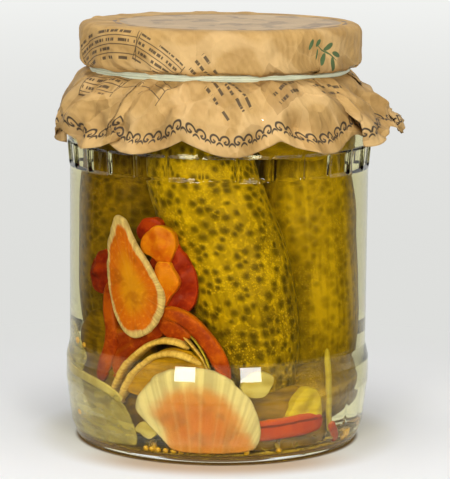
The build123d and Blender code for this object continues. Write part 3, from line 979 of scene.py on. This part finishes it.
# The paper: a profile carried round the lid and the neck. A column's place on the flat sheet is the
# share of the hem that its folds use up, the hem is cut in lobes, 1 - |cos|, and the sheet stands
# off its profile by its folds' lift, bulges, gathers, crumpling and creases. Towards the side where
# the hem stands out, the skirt becomes a cone.
def paperPiece():
    folds = np.array(paper["folds"], float)
    (wallTurn, tieTurn, hemTurn), across, panelOf, onPanel = foldColumns()
    unfolded = np.concatenate([[0], np.cumsum(np.abs(np.diff(hemTurn)))])
    whole = unfolded[-1] + abs(hemTurn[0] + 360 - hemTurn[-1])
    zero = np.interp(paper["lobePhase"], hemTurn[onPanel], unfolded[onPanel])
    flatTurn = (unfolded - zero) * 360 / whole
    corners = np.array(paper["profile"], float)
    lengths = runLength(corners)
    tie = lengths[paper["tie"]]
    lobe = 1 - np.abs(np.cos(np.radians(flatTurn * paper["lobes"] / 2)))
    hem = tie + paper["skirt"] - paper["lobeDepth"] * lobe**0.9
    rows = [np.linspace(3, 36, 10), np.linspace(37.5, 46, 12), np.linspace(47, tie - 0.4, 16)]
    rows = np.concatenate(rows)
    skirt = np.linspace(0, 1, 44)
    flat = np.concatenate([rows[:, None] + 0 * hem, tie + skirt[:, None] * (hem - tie)])
    smoothed = curveThrough(corners, 600)
    run = runLength(smoothed)
    run *= lengths[-1] / run[-1]
    reach, height = (np.interp(flat, run, smoothed[:, k]) for k in (0, 1))
    slope = unit(np.gradient(smoothed, axis=0))
    outward = np.stack([np.interp(flat, run, -slope[:, 1]), np.interp(flat, run, slope[:, 0])], -1)
    top = eased(flat, 50, tie)  # 0 on the top, 1 at the band
    fall = np.clip((flat - tie) / paper["skirt"], 0, 1)  # 0 at the band, 1 at the hem
    above, beneath = wallTurn + top * (tieTurn - wallTurn), tieTurn + fall * (hemTurn - tieTurn)
    turn = np.where(flat < tie, above, beneath)
    hemLift = np.where(across > 0.5, np.roll(folds[:, 5], -1)[panelOf], folds[panelOf, 5])
    above, beneath = paper["lift"] * eased(flat, 50, 56), paper["lift"] + fall * (hemLift - paper["lift"])
    lift = np.where(flat < tie, above, beneath)
    offset = lift * (1 - 2 * across)
    bulge = np.array(paper["bulge"])[panelOf]
    offset = offset + bulge * np.sin(np.pi * across) * fall**1.2 * 1.2
    off = np.abs(flat - tie)
    gather = np.cos(2 * np.pi * across * 3 + panelOf) * np.exp(-off / 5.0) * eased(off, 0.8, 3)
    offset = offset + 0.32 * gather
    flatPoint = around(flatTurn, flat, 0)
    free = 1 - np.exp(-(((flat - tie) / 2.5) ** 2))  # 0 where the band holds the sheet
    side = eased(flat, 36, 44)  # 0 on the top, 1 on the lid's side
    offset = offset + crumple(flatPoint, 14, 41) * (0.10 + 0.75 * side + 2.0 * fall) * free
    offset = offset + crumple(flatPoint, 6.5, 42) * (0.35 * side + 0.5 * fall) * free
    offset = offset + 0.5 * waves(flatPoint, 22, 4) * eased(fall, 0, 1)
    offset = offset + 0.16 * waves(flatPoint, 14, 5) * eased(flat, 10, 44)
    offset = offset + creaseLines(flat, turn) * free
    clear = np.where(flat < 47, 0.05, -0.35)  # keeps the sheet off the lid
    offset = np.where(flat < tie, np.maximum(offset, clear), offset)
    share = np.interp(hemTurn, *np.array(paper["cone"]).T, period=360) * eased(flat, tie, tie + 7)
    lines = zip(paper["coneStart"], paper["coneSlope"])
    cone = [start + slope * (flat - tie) for start, slope in lines]
    reach, height = (line + share * (onCone - line) for line, onCone in zip((reach, height), cone))
    points = around(turn, reach + offset * outward[..., 0], height + offset * outward[..., 1])
    piece = putPiece("paper_sheet", points, paperFinish(), openEnd=True, uv=flatPoint[..., :2])
    solid = piece.modifiers.new("thickness", "SOLIDIFY")
    solid.thickness, solid.offset = paper["thickness"] * 0.001, -1.0
    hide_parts("paper_cover")
    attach(piece, "root")
    return piece


# Creases: V-shaped lines that slant across the sheet, depth x exp(-distance / width), faded in
# along their length.
def creaseLines(flat, turn):
    total = 0
    for start, slant, low, high, depth, width in paper["creases"]:
        off = (turn - start + 180) % 360 - 180
        distance = np.radians(off) * 45 - slant * (flat - low)
        faded = eased(flat, low, low + 3) * (1 - eased(flat, high - 2, high))
        total = total + depth * np.exp(-np.abs(distance) / width) * faded
    return total


# Crumpling: triangle waves in several directions, each strong only in places, which leaves flat
# facets between sharp creases.
def crumple(points, length, seed):
    dice = np.random.default_rng(seed)
    total = 0
    for _ in range(7):
        direction = unit(dice.normal(size=2)) / (length * dice.uniform(0.7, 1.6))
        phase = points[..., :2] @ direction + dice.uniform()
        strength = eased(waves(points, length * 2.2, int(dice.integers(1e6))), -0.3, 0.9)
        total = total + (2 * np.abs(phase - np.floor(phase) - 0.5) - 0.5) * strength
    return total


# Brown paper: fine slanting ribs, fibres and patches. Cells of two sizes give its facets: each is
# painted lighter or darker as painted light and shade, and they rise to lines where they meet that
# are painted lighter, worn ridges with a painted highlight.
def paperFinish():
    finish = newFinish("kraft_paper")
    flat = finish.place("UV")
    u, v = finish.apart(flat)[:2]
    far = finish.vector("LENGTH", flat, output="Value") / 0.001
    turn = u.math("ARCTAN2", 0 - v)
    lean = (u * 0.82 + v * 0.57) / 0.001
    wobble = finish.noise(flat, 12, 2)
    rib = (lean * 2.9 + wobble * 6).math("SINE")
    fibre = finish.noise(finish.together(u * 3, v), 1.6, 3)
    patch = finish.noise(flat, 9, 3)
    color = finish.blend(finish.step(patch, 0.3, 0.7), paper["dark"], paper["light"])
    color = finish.blend((rib * 0.5 + 0.5) * 0.16, color, paper["rib"])
    color = finish.blend(finish.step(fibre, 0.5, 0.75) * 0.25, color, paper["fibre"])
    warped = finish.vector("MULTIPLY_ADD", finish.noise(flat, 9, 2, 1), (0.004, 0.004, 0), flat)
    broad, small = finish.cells(warped, 15), finish.cells(warped, 6.5)
    # Where the cells meet the paper is painted lighter: worn ridges with a painted highlight.
    color = finish.blend(finish.step(broad, 0.50, 0.66) * 0.42, color, paper["wornAndHighlit"])
    # Painted light and shade: each facet is made lighter or darker as if its slope met the light, most on
    # the skirt.
    facetShadeBroad = finish.apart(finish.cells(warped, 15, 1.0, 1))[0]
    facetShadeSmall = finish.apart(finish.cells(warped, 6.5, 1.0, 1))[0]
    shade = (facetShadeBroad * 0.6 + facetShadeSmall * 0.4 - 0.5) * (0.5 + finish.step(far, 40, 56) * 0.7)
    color = finish.blend(shade.math("MAXIMUM", 0.0) * 0.9, color, paper["paintedLitFacet"])
    color = finish.blend((shade * -1.0).math("MAXIMUM", 0.0) * 1.1, color, paper["paintedShadedFacet"])
    color = finish.blend(finish.step(small, 0.52, 0.70) * 0.2, color, paper["wornAndHighlitSmall"])
    ink = laceInk(finish, far, turn).math("MAXIMUM", printInk(finish, flat))
    color = finish.blend(ink * 0.92, color, paper["ink"])
    color = sprigInk(finish, flat, color)
    color = sealInk(finish, flat, color)
    crinkle = finish.noise(flat, 3.5, 4)
    facets = broad + small * 0.35
    relief = rib * 0.03 + crinkle * 0.40 + fibre * 0.06 + facets * (0.9 + finish.step(far, 38, 60) * 2.0)
    return finish.surface(color, 0.66, Normal=finish.bump(relief, 1.0, 1.0), Specular_IOR_Level=0.4)


prints = [  # middle across and up, lean of the rows, half length, half depth, pitch, words, lines
    (-36.5, -29.2, -40, 15, 4.5, 2.6, 1, 1),
    (-52.0, -36.5, -51, 8.5, 4.2, 2.8, 1, 1),
    (-39.5, -49.5, -41, 10.5, 1.9, 2.7, 0, 1),
    (-20.5, -45.4, -56, 8.2, 4.1, 2.7, 1, 1),
    (-26.5, -56.5, -50, 7.0, 4.6, 2.6, 0, 1),
    (-3.0, -61.0, -58, 13.5, 5.4, 2.9, 1, 0),
    (22.0, -59.6, 45, 8.0, 2.8, 2.8, 1, 0),
    (42.0, -47.8, 41, 12.5, 2.8, 2.8, 1, 0),
    (60.5, -13.0, 78, 8.0, 2.7, 2.7, 1, 0),
    (-20.0, 58.0, 20, 14.0, 5.4, 2.8, 1, 1),
    (30.0, 56.0, -35, 12.0, 4.2, 2.8, 1, 0),
    (-58.0, 22.0, 65, 11.0, 4.2, 2.8, 1, 1),
]


# Place on the sheet about a middle, along and across a lean.
def leaning(finish, flat, across, up, lean):
    middle = (across * 0.001, up * 0.001, 0)
    inputs = {"Vector": flat, "Center": middle, "Angle": np.radians(-lean)}
    turned = finish.node("ShaderNodeVectorRotate", {"rotation_type": "Z_AXIS"}, inputs)
    return finish.vector("SUBTRACT", turned, middle)


# 1 within a distance of the middle line, in millimetres, with an edge of a tenth of one.
def within(finish, value, distance):
    low = distance * 0.001
    return 1 - finish.step(value.math("ABSOLUTE"), low, low + 1e-4)


# Blocks of print: rows of dashes with uneven gaps, and lines between the rows where a block is
# ruled. The sheet is turned about each block's middle until its rows lie flat.
def printInk(finish, flat):
    ink = 0
    for across, up, lean, halfLong, halfDeep, pitch, words, lines in prints:
        p, q = finish.apart(leaning(finish, flat, across, up, lean))[:2]
        inside = within(finish, p, halfLong) * within(finish, q, halfDeep)
        rows = q / (pitch * 0.001)
        part, row = rows.math("FRACT"), rows.math("FLOOR")
        off = (part - 0.5).math("ABSOLUTE")
        word = finish.step(finish.noise(finish.together(p, row * 0.0137), 3.0, 0), 0.40, 0.43)
        stroke = finish.step(finish.noise(finish.together(p, row * 0.0171), 0.75, 0), 0.40, 0.46)
        marks = (1 - finish.step(off, 0.13, 0.22)) * word * stroke * (words * 0.9)
        if lines:
            rule = finish.step(off, 0.5 - 0.20 / pitch, 0.5 - 0.09 / pitch)
            side = finish.step(p.math("ABSOLUTE"), (halfLong - 0.3) * 0.001, (halfLong - 0.18) * 0.001)
            marks = marks.math("MAXIMUM", rule.math("MAXIMUM", side) * 0.85)
        ink = (marks * inside).math("MAXIMUM", ink)
    return ink


sprig = {  # leaves: middle across and up, lean, half length, half width
    "leaves": [
        (28.8, -35.0, 95, 1.9, 0.7), (31.4, -32.2, 70, 2.0, 0.8), (33.2, -35.0, -60, 1.7, 0.6),
        (35.6, -29.6, 80, 2.0, 0.8), (36.8, -33.6, -70, 2.1, 0.8), (39.4, -28.6, 35, 2.1, 0.8),
        (40.4, -31.8, -40, 2.2, 0.8), (34.5, -32.0, 20, 3.4, 0.22), (38.0, -30.6, 15, 3.0, 0.2),
    ],
    "color": (0.035, 0.115, 0.035),
}


# A sprig: leaves are ellipses, (p / a)^2 + (q / b)^2 < 1, about a thin stem.
def sprigInk(finish, flat, color):
    ink = 0
    for across, up, lean, halfLong, halfWide in sprig["leaves"]:
        size = (halfLong * 0.001, halfWide * 0.001, 1)
        scaled = finish.vector("DIVIDE", leaning(finish, flat, across, up, lean), size)
        leaf = 1 - finish.step(finish.vector("LENGTH", scaled, output="Value"), 0.85, 1.05)
        ink = leaf.math("MAXIMUM", ink)
    return finish.blend(ink * 0.9, color, sprig["color"])


seal = {  # its middle on the sheet is in metres
    # The wash is a pale print with a painted sheen on it.
    "middle": (0.003, -0.003, 0), "reach": 34.5, "washAndSheen": (0.62, 0.52, 0.40), "ink": (0.20, 0.155, 0.13),
}


# The round print on the top: a paler disc, partly print and partly painted sheen, with soft grey
# clouds and a border of dots.
def sealInk(finish, flat, color):
    offset = finish.vector("SUBTRACT", flat, seal["middle"])
    far = finish.vector("LENGTH", offset, output="Value") / 0.001
    u, v = finish.apart(offset)[:2]
    disc = 1 - finish.step(far, seal["reach"] - 1.6, seal["reach"] - 1.2)
    cloud = finish.step(finish.noise(finish.together(u, v * 0.6), 9, 4), 0.50, 0.60)
    streak = finish.step(finish.noise(finish.together(u * 0.3, v), 2.2, 3), 0.54, 0.62)
    # The paler disc is partly print and partly painted sheen from above.
    color = finish.blend(disc * 0.5, color, seal["washAndSheen"])
    color = finish.blend(disc * cloud * (0.35 + streak * 0.45), color, seal["ink"])
    beads = (u.math("ARCTAN2", v) * 22).math("SINE") * 0.35
    border = 1 - finish.step((far - seal["reach"]).math("ABSOLUTE") - beads, 0.25, 0.5)
    return finish.blend(border * 0.8, color, seal["ink"])


lace = {"motifs": 126, "reach": 80.0, "centre": 4.4, "swirl": 1.5, "line": 0.33}


# Lace border: mirrored scrolls, radius = a + b x angle, that follow the scallops, over a wave.
def laceInk(finish, far, turn):
    tie = runLength(np.array(paper["profile"], float))[paper["tie"]]
    lobe = 1 - (turn * (paper["lobes"] / 2)).math("COSINE").math("ABSOLUTE")
    inset = tie + paper["skirt"] - paper["lobeDepth"] * lobe - far - lace["centre"]
    count = turn * (lace["motifs"] / (2 * np.pi))
    pitch = 2 * np.pi * lace["reach"] / lace["motifs"]
    along = ((count * 0.5).math("FRACT") - 0.5).math("ABSOLUTE") * (2 * pitch) - pitch / 2
    radius = (along * along + inset * inset).math("SQRT")
    swirl = inset.math("ARCTAN2", along) / (2 * np.pi) + 0.5
    thin = lace["line"] * 0.6
    scroll = (radius - 0.35 - lace["swirl"] * swirl).math("ABSOLUTE")
    scroll = 1 - finish.step(scroll, thin, lace["line"] * 1.3)
    dot = 1 - finish.step(radius, 0.15, 0.4)
    swing = (count * (2 * np.pi)).math("COSINE")
    stroke = 1 - finish.step((inset + 1.2 - 0.7 * swing).math("ABSOLUTE"), thin, lace["line"] * 1.4)
    stroke = stroke * finish.step(swing, -0.35, 0.0)
    return scroll.math("MAXIMUM", stroke).math("MAXIMUM", dot)


paperPiece()
print("paper made")


band = {
    "reach": 38.95, "height": 113.45, "size": (0.44, 0.40), "color": (0.72, 0.77, 0.56),
    "strands": [(-0.62, 0.0), (0.0, 0.25), (0.62, 0.0)],  # rise and how far out
}


# The band: strands round the neck that wander up and down and change places where it is twisted.
def bandPiece():
    turns = np.linspace(0, 360, 480, endpoint=False)
    angle = circle(16)
    bow = 0.30 * np.sin(np.pi * np.clip((turns - 20) / 75, 0, 1))
    copies = []
    for number, (rise, out) in enumerate(band["strands"]):
        swing = np.cos(np.radians(3 * turns + 120 * number)) * 0.12
        cross = eased(turns, 20, 60) - eased(turns, 62, 95)
        height = band["height"] + rise * (1 - 1.7 * cross * (number != 1)) + swing
        reach = band["reach"] + out + bow * (number - 1)
        r = reach[:, None] + band["size"][1] * np.cos(angle)[None]
        z = height[:, None] + band["size"][0] * np.sin(angle)[None]
        copies.append(around(turns[:, None], r, z))
    finish = newFinish("band_rubber")
    patch = finish.noise(finish.place(), 3, 2)
    color = finish.blend(patch, toned(band["color"], 0.86), toned(band["color"], 1.12))
    piece = putPiece("band_strands", np.array(copies), finish.surface(color, 0.45), looped=True)
    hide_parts("rubber_band")
    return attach(piece, "root")


lid = {"color": (0.62, 0.50, 0.24), "roughness": 0.25, "unevenness": 0.15, "metal": 0.9}


# The lid keeps its mesh and gets a golden lacquer.
def lidFinish():
    finish = newFinish("lid_metal")
    patch = finish.noise(finish.place(), 6, 2)
    roughness = lid["roughness"] + patch * lid["unevenness"]
    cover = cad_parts["lid"]
    cover.data.materials.clear()
    cover.data.materials.append(finish.surface(lid["color"], roughness, Metallic=lid["metal"]))


bandPiece()
lidFinish()
print("band and lid made")


stage = {
    "level": 0.05,  # a hair inside the jar's foot, so that the floor shows through it
    "foot": (36.0, 1.5),  # reach and height of the hollow under the jar
    "floorHalf": 9000.0,
    "floorNear": (0.96, 0.96, 0.96),
    "floorWarm": (0.83, 0.81, 0.75),  # round the jar, from its light
    # Painted light: a warmer pool on the floor in front of the jar.
    "paintedFrontLight": (0.66, 0.51, 0.37),
    # Painted shadow and glow: dark brown on the floor under the jar's rim, and a faint light in its hollow.
    "paintedShadowAndGlowUnder": (0.16, 0.095, 0.04),
    # Painted shade: the background is darker near the jar than far off.
    "floorShadedMiddle": (0.73, 0.735, 0.715),
    "floorFar": (0.90, 0.908, 0.89),
    "ambient": 0.29,
    "view": (0.88, 0.89, 0.88),
    "unseen": 0.02,  # what a reflection gets of the paleness in front of the jar
    "lamps": [  # turn, elevation, distance in metres, side in metres, brightness
        (-24, 15.5, 1.3, 0.335, 17.5), (25, 15.5, 1.3, 0.335, 17.5), (0, 80, 1.3, 0.9, 3.5),
    ],
}


# 1 for what the camera sees straight or through the glass. A reflection sees the pale sweep behind
# the jar too, and next to nothing of the dark room in front of it.
def paleness(finish, behind):
    reflections = finish.node("ShaderNodeLightPath", output="Glossy Depth").math("MINIMUM", 1.0)
    return 1 - reflections * (1 - stage["unseen"]) * (1 - behind)


# The floor: a plane with a low cone in the hollow of the jar's foot. Near the jar it is a pale matt
# surface that keeps the shadow, with painted warm light round the jar and in front of it, a painted
# shadow under its rim and a painted glow in its hollow, and farther off it gives the background's own
# tone, with painted shade that darkens it towards the jar.
def floorPiece():
    mesh = bpy.data.meshes.new("floor")
    level, count = stage["level"], 72
    turns = np.arange(count) * 360 / count
    hollowReach, hollowHeight = stage["foot"]
    rings = [around(turns, reach, level) for reach in (hollowReach, stage["floorHalf"])]
    points = np.concatenate([[(0, 0, hollowHeight + level)], *rings]) * 0.001
    here = np.arange(count)
    after = (here + 1) % count
    hollow = np.stack([here * 0, after + 1, here + 1], -1)
    plain = np.stack([here + 1, after + 1, after + 1 + count, here + 1 + count], -1)
    mesh.from_pydata(points.tolist(), [], [*hollow.tolist(), *plain.tolist()])
    piece = putObject("floor", mesh)
    finish = newFinish("floor_white")
    place = finish.place()
    far = finish.vector("LENGTH", place, output="Value")
    back = finish.apart(place)[1] / far  # -1 straight in front of the jar, 1 straight behind it
    seen = paleness(finish, finish.step(back, 0.30, 0.80))
    spread = finish.node("ShaderNodeLightPath", output="Diffuse Depth").math("MINIMUM", 1.0)
    seen = seen * (1 - 0.3 * spread)
    # Painted light: a warm pool in front of the jar and a warm ring round it, as if from light through its
    # contents.
    warm = finish.blend(finish.step(back, -0.95, -0.5), stage["paintedFrontLight"], stage["floorWarm"])
    warm = finish.blend(finish.step(far, 0.047, 0.060), warm, stage["floorNear"])
    # Painted shadow: a dark ring on the floor just under the jar's rim.
    warm = finish.blend(finish.step(far, 0.0425, 0.0442), stage["paintedShadowAndGlowUnder"], warm)
    near = finish.node("ShaderNodeBsdfDiffuse", None, {"Color": warm})
    # Painted shade: the background glows darker near the jar and lighter far off, as light falls off over
    # the sweep.
    glow = finish.blend(finish.step(far, 0.1, 2.6), stage["floorShadedMiddle"], stage["floorFar"])
    away = finish.node("ShaderNodeEmission", None, {"Color": finish.blend(seen, (0, 0, 0), glow)})
    share = finish.step(far, 0.08, 0.19)
    # Painted glow: the floor in the jar's hollow gives off a faint brown light, as if light came through
    # the jar.
    under = finish.blend(finish.step(far, 0.036, 0.041), stage["paintedShadowAndGlowUnder"], (0, 0, 0))
    under = finish.node("ShaderNodeEmission", None, {"Color": under})
    near = finish.node("ShaderNodeAddShader", None, [near, under])
    mesh.materials.append(finish.shown(finish.node("ShaderNodeMixShader", None, [share, near, away])))


# Square lamps that face a point in the jar, each given by its radiance.
def lamps():
    for number, (turn, rise, far, side, brightness) in enumerate(stage["lamps"]):
        lamp = bpy.data.lights.new(f"lamp_{number}", "AREA")
        lamp.shape, lamp.size = "SQUARE", side
        lamp.energy = brightness * np.pi * side**2  # watts for that radiance
        holder = putObject(f"lamp_{number}", lamp)
        target = Vector((0, 0, 0.06))
        away = Vector(around(turn, far * np.cos(np.radians(rise)), far * np.sin(np.radians(rise))))
        holder.location = target + away
        holder.rotation_euler = away.to_track_quat("Z", "Y").to_euler()
        holder.visible_camera = False


# The room: pale to the camera and through the glass, a plain level to what is lit by it, and dark
# in front of the jar to what is mirrored.
def worldLight():
    world = bpy.data.worlds.new("room")
    bpy.context.scene.world = world
    finish = Finish(world)
    names = ("Is Camera Ray", "Is Transmission Ray", "Diffuse Depth", "Glossy Depth")
    paths = (finish.node("ShaderNodeLightPath", output=name) for name in names)
    camera, through, diffuse, glossy = paths
    straight = camera.math("MAXIMUM", through) * (1 - (diffuse + glossy).math("MINIMUM", 1.0))
    color = finish.blend(straight, (stage["ambient"],) * 3, stage["view"])
    behind = finish.step(finish.apart(finish.place("Generated"))[1], 0.0, 0.6)
    dark = finish.blend(behind, (stage["ambient"] * 0.2,) * 3, stage["view"])
    color = finish.blend(glossy.math("MINIMUM", 1.0), color, dark)
    finish.shown(finish.node("ShaderNodeBackground", None, {"Color": color, "Strength": 1.0}))


view = {  # place in metres, the lens in millimetres on a sensor of 36
    "place": (0, -0.7772, 0.1829), "down": 8.95, "roll": 0.552, "lens": 192.78, "shift": 0.0137,
}


# The camera: in front of the jar and above it, tipped down and rolled a little.
def cameraPiece():
    lens = bpy.data.cameras.new("camera")
    lens.sensor_width, lens.lens, lens.shift_x = 36, view["lens"], view["shift"]
    lens.clip_start, lens.clip_end = 0.05, 60
    camera = putObject("camera", lens)
    tilt = Matrix.Rotation(np.radians(90 - view["down"]), 4, "X")
    roll = Matrix.Rotation(np.radians(view["roll"]), 4, "Z")
    camera.matrix_world = Matrix.Translation(view["place"]) @ tilt @ roll
    bpy.context.scene.camera = camera


floorPiece()
lamps()
worldLight()
cameraPiece()
bpy.context.scene.view_settings.view_transform = "Standard"
